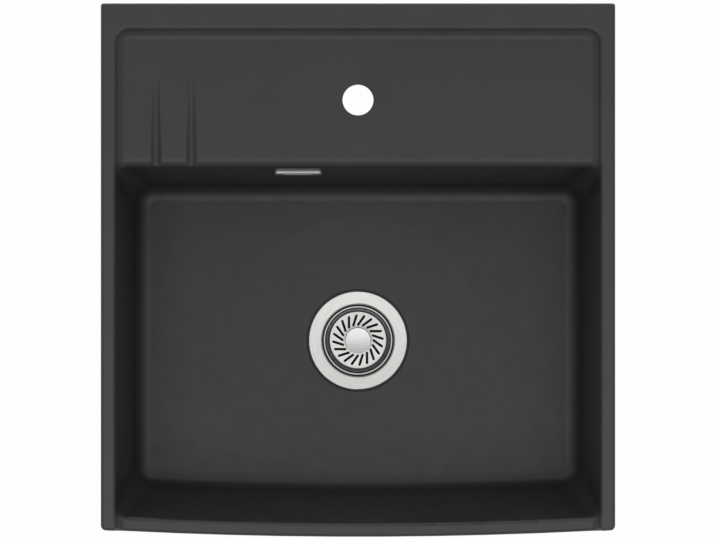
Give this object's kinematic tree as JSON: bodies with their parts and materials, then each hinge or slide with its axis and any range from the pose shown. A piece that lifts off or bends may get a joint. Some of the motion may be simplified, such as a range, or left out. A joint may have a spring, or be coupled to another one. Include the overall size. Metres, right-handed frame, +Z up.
{
  "type": "ceramic kitchen sink",
  "caption": "Dark glazed ceramic kitchen sink with bowed apron front, raised rim, tap deck with drain grooves, slotted overflow and lift-out basket strainer with stopper.",
  "frame": {"origin": "middle of the footprint, on the plane the ceramic is seated on", "axes": "+Z up, -Y towards the person at the sink, +X to that person's right"},
  "size_m": [0.58, 0.602, 0.309],
  "materials": {
    "glaze": "matt anthracite glaze with a soft sheen",
    "steel": "satin brushed stainless steel",
    "screw_steel": "turned stainless steel",
    "insert_brass": "plain turned brass",
    "seal_rubber": "matt black rubber",
    "waste_plastic": "moulded white polypropylene",
    "pipe_plastic": "extruded white polypropylene",
    "bush_plastic": "moulded black plastic"
  },
  "bodies": {
    "sink": {"sink_basin": "glaze", "waste_cup": "steel", "flange_gasket": "seal_rubber", "waste_housing": "waste_plastic", "housing_gasket": "seal_rubber", "clamp_screw": "screw_steel", "threaded_insert": "insert_brass", "overflow_bezel": "steel", "bezel_seal": "seal_rubber", "bezel_screws": "screw_steel", "overflow_housing": "waste_plastic", "overflow_gasket": "seal_rubber", "overflow_pipe": "pipe_plastic", "upper_pipe_washer": "seal_rubber", "upper_pipe_nut": "waste_plastic", "lower_pipe_washer": "seal_rubber", "lower_pipe_nut": "waste_plastic"},
    "basket": {"strainer_basket": "steel", "stem_bush": "bush_plastic", "detent_ring": "seal_rubber"},
    "stopper": {"stopper_knob": "steel", "stopper_stem": "screw_steel", "stopper_seal": "seal_rubber", "seal_retainer": "screw_steel"}
  },
  "joints": [
    {"name": "basket_lift", "type": "slide", "parent": "sink", "child": "basket", "axis": [0, 0, 1], "range_m": [0, 0.25]},
    {"name": "stopper_lift", "type": "slide", "parent": "basket", "child": "stopper", "axis": [0, 0, 1], "range_m": [0, 0.0065]}
  ]
}
